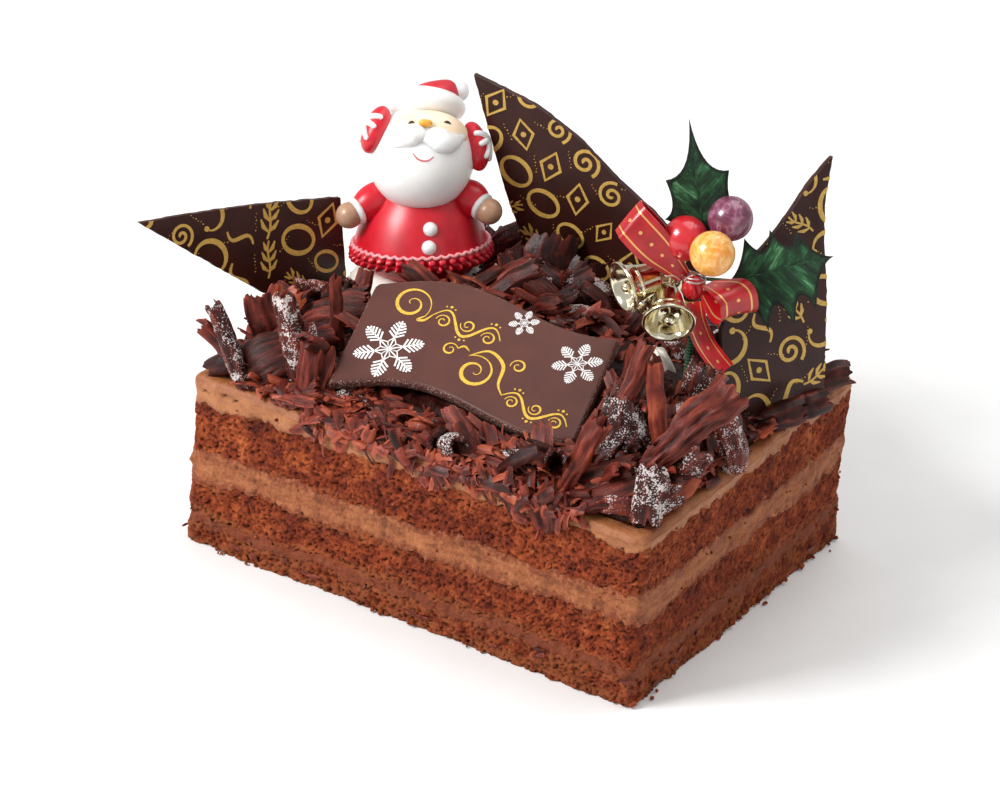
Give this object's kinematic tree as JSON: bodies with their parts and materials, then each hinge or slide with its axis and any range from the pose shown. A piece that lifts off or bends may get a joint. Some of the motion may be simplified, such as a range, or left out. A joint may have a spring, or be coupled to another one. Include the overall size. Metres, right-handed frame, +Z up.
{
  "type": "layered chocolate Christmas cake",
  "caption": "Rectangular layered chocolate Christmas cake with sponge and cream layers, chocolate curls, a chocolate plaque and shards, a sugar figure and a holly pick",
  "frame": {"origin": "middle of the cake's flat base, on the plane it rests on", "axes": "+X along the cake's long side towards the end with the holly pick, +Y from the cut front face towards the back, +Z up"},
  "size_m": [0.1761, 0.1144, 0.1343],
  "materials": {
    "chocolate_sponge": "baked chocolate sponge, open dark pores, dull",
    "chocolate_cream": "chocolate cream, smooth with knife marks, soft sheen",
    "plaque_chocolate": "satin chocolate plaque, printed in gold and white",
    "shard_chocolate": "satin dark chocolate, printed in gold",
    "white_sugar": "moulded white sugar, smooth satin",
    "red_sugar": "moulded red sugar, glossy",
    "brown_sugar": "moulded light brown sugar, satin",
    "peach_sugar": "moulded peach sugar, satin",
    "amber_sugar": "moulded amber sugar, glossy",
    "whipped_cream": "whipped cream, soft folds",
    "whipped_cream_piped": "piped whipped cream, soft folds",
    "green_velvet_leaf": "flocked fabric leaf, dark green, stitched rim",
    "red_satin_ribbon": "woven satin ribbon, fine gold edge lines",
    "pale_gold_plating": "pale gold plated, bright mirror",
    "green_wire": "green wrapped wire, semi matte",
    "pearl_red": "glossy red bead",
    "pearl_amber": "glossy amber bead with swirls",
    "pearl_purple": "glossy purple bead with swirls",
    "curl_chocolate": "dark and milk chocolate shavings, fibrous, part dusted with sugar"
  },
  "bodies": {
    "root": {"sponge_bottom": "chocolate_sponge", "sponge_middle": "chocolate_sponge", "sponge_top": "chocolate_sponge", "cream_lower": "chocolate_cream", "cream_middle": "chocolate_cream", "cream_top": "chocolate_cream", "plaque": "plaque_chocolate", "shard_left": "shard_chocolate", "shard_middle": "shard_chocolate", "shard_right": "shard_chocolate", "cream_under_figure": "whipped_cream", "cream_under_pick": "whipped_cream_piped", "figure_coat": "red_sugar", "figure_hem": "red_sugar", "figure_hat": "red_sugar", "figure_ear_pad_left": "red_sugar", "figure_ear_pad_right": "red_sugar", "figure_beard": "white_sugar", "figure_moustache": "white_sugar", "figure_hat_brim": "white_sugar", "figure_pompom": "white_sugar", "figure_button_1": "white_sugar", "figure_button_2": "white_sugar", "figure_cuff_left": "white_sugar", "figure_cuff_right": "white_sugar", "figure_face": "peach_sugar", "figure_nose": "amber_sugar", "figure_mitten_left": "brown_sugar", "figure_mitten_right": "brown_sugar", "leaf_upper": "green_velvet_leaf", "leaf_lower": "green_velvet_leaf", "ribbon_knot": "red_satin_ribbon", "ribbon_loop_left": "red_satin_ribbon", "ribbon_loop_right": "red_satin_ribbon", "ribbon_tail": "red_satin_ribbon", "bell_left": "pale_gold_plating", "bell_back": "pale_gold_plating", "bell_front": "pale_gold_plating", "pick_wire": "green_wire", "berry_red": "pearl_red", "berry_amber": "pearl_amber", "berry_purple": "pearl_purple", "chocolate_curls": "curl_chocolate"}
  },
  "joints": []
}
